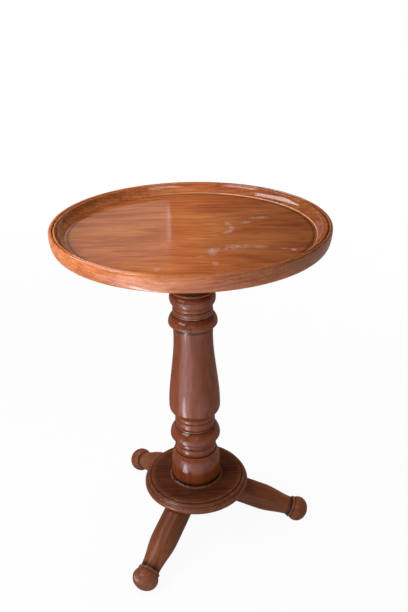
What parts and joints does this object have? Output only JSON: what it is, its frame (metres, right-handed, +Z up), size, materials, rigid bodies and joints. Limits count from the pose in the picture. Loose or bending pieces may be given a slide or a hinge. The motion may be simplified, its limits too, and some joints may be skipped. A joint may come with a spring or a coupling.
{
  "type": "tripod pedestal table",
  "caption": "Round tripod pedestal table in polished wood: dished top with a moulded rim, turned baluster column, base disc and turned legs with ball feet.",
  "frame": {"origin": "on the floor, under the middle of the column", "axes": "+Z up along the column, -Y towards the viewer of the picture, +X to the viewer's right"},
  "size_m": [0.4896, 0.4896, 0.6731],
  "materials": {
    "top_wood": "polished",
    "column_wood": "polished",
    "base_wood": "satin",
    "hidden_wood": "matte",
    "wedge_wood": "matte",
    "screw_steel": "satin"
  },
  "bodies": {
    "root": {"tabletop": "top_wood", "column": "column_wood", "base_disc": "base_wood", "leg_front_left": "base_wood", "leg_right": "base_wood", "leg_back_left": "base_wood", "top_bearer": "hidden_wood", "column_top_wedge": "wedge_wood", "column_foot_wedge": "wedge_wood", "bearer_screw_1": "screw_steel", "bearer_screw_2": "screw_steel", "bearer_screw_3": "screw_steel", "bearer_screw_4": "screw_steel", "leg_screw_front_left_inner": "screw_steel", "leg_screw_front_left_outer": "screw_steel", "leg_screw_right_inner": "screw_steel", "leg_screw_right_outer": "screw_steel", "leg_screw_back_left_inner": "screw_steel", "leg_screw_back_left_outer": "screw_steel"}
  },
  "joints": []
}
